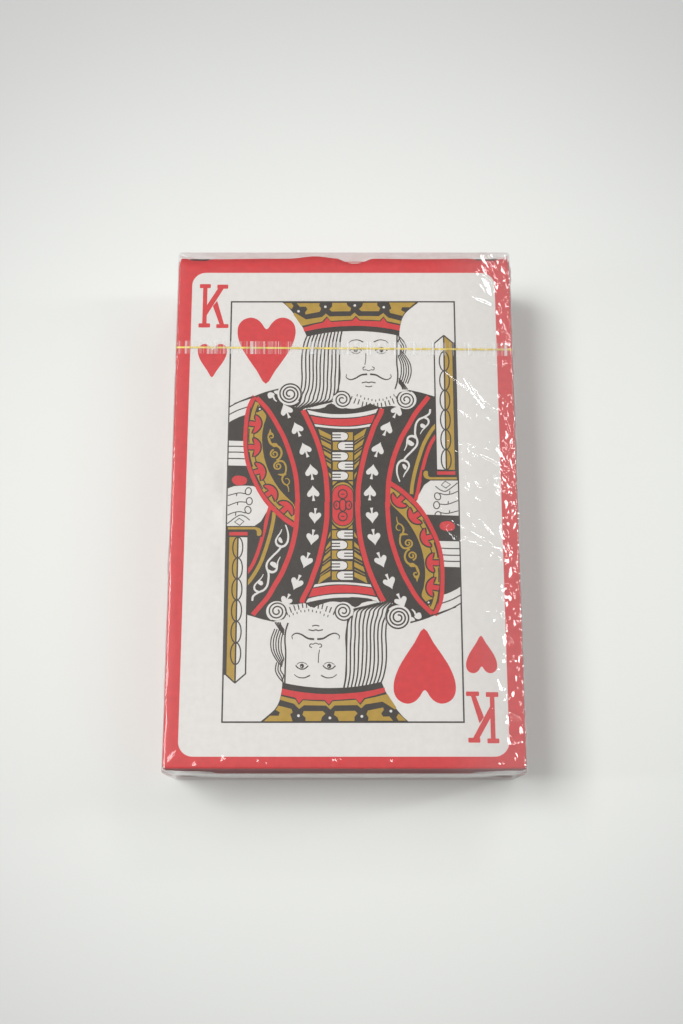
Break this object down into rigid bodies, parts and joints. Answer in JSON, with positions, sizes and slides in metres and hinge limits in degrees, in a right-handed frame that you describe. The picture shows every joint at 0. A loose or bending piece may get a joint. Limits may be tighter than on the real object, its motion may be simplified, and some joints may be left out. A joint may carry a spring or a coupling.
{
  "type": "playing card box",
  "caption": "Tuck carton holding a deck of playing cards, sealed in clear film with a tear tape.",
  "frame": {"origin": "middle of the underside of the film-wrapped box as it lies face up", "axes": "+X to the right of the front panel, +Y towards the tuck lid, +Z out of the front panel"},
  "size_m": [0.0596, 0.092, 0.018],
  "materials": {
    "printed_white_board": "satin",
    "red_board": "satin",
    "dark_red_board": "satin",
    "plain_board": "matte",
    "card_stock": "satin",
    "clear_film": "gloss",
    "tape_film": "gloss",
    "gold_thread": "gloss"
  },
  "bodies": {
    "carton": {"front_panel": "printed_white_board", "back_panel": "red_board", "left_wall": "red_board", "right_wall": "red_board", "glue_flap": "plain_board", "bottom_outer_flap": "dark_red_board", "bottom_inner_flap": "plain_board", "bottom_dust_flap_left": "plain_board", "bottom_dust_flap_right": "plain_board"},
    "lid": {"lid_panel": "red_board"},
    "tongue": {"tuck_tongue": "red_board"},
    "dust_flap_left": {"top_dust_flap_left": "plain_board"},
    "dust_flap_right": {"top_dust_flap_right": "plain_board"},
    "deck": {"spade_cards": "card_stock", "heart_cards": "card_stock", "diamond_cards": "card_stock", "club_cards": "card_stock", "joker_cards": "card_stock"},
    "film_sleeve": {"film_sleeve_wall": "clear_film", "film_sleeve_side_tucks": "clear_film", "film_sleeve_end_flaps": "clear_film", "film_sleeve_seam": "clear_film"},
    "film_cap": {"film_cap_wall": "clear_film", "film_cap_side_tucks": "clear_film", "film_cap_end_flaps": "clear_film", "film_cap_seam": "clear_film", "tear_tape": "tape_film", "gold_thread": "gold_thread", "pull_tab": "gold_thread"}
  },
  "joints": [
    {"name": "film_cap_slide", "type": "slide", "parent": "carton", "child": "film_cap", "axis": [0, 1, 0], "range_m": [0, 0.06]},
    {"name": "lid_hinge", "type": "hinge", "parent": "carton", "child": "lid", "pos_m": [0, 0.04435, 0.0006], "axis": [-1, 0, 0], "range_deg": [0, 90]},
    {"name": "tongue_fold", "type": "hinge", "parent": "lid", "child": "tongue", "pos_m": [0, 0.04435, 0.01617], "axis": [-1, 0, 0], "range_deg": [-45, 0]},
    {"name": "dust_left_fold", "type": "hinge", "parent": "carton", "child": "dust_flap_left", "pos_m": [-0.02915, 0.04425, 0.009], "axis": [0, 0, 1], "range_deg": [0, 22.5]},
    {"name": "dust_right_fold", "type": "hinge", "parent": "carton", "child": "dust_flap_right", "pos_m": [0.02915, 0.04425, 0.009], "axis": [0, 0, -1], "range_deg": [0, 22.5]},
    {"name": "film_sleeve_slide", "type": "slide", "parent": "carton", "child": "film_sleeve", "axis": [0, -1, 0], "range_m": [0, 0.075]},
    {"name": "deck_slide", "type": "slide", "parent": "carton", "child": "deck", "axis": [0, 1, 0], "range_m": [0, 0.0006]}
  ],
  "couplings": [
    {"joint": "lid_hinge", "follows": "film_cap_slide", "rad_per_m": 26.179},
    {"joint": "tongue_fold", "follows": "film_cap_slide", "rad_per_m": -13.089},
    {"joint": "dust_left_fold", "follows": "film_cap_slide", "rad_per_m": 6.5447},
    {"joint": "dust_right_fold", "follows": "film_cap_slide", "rad_per_m": 6.5447}
  ]
}
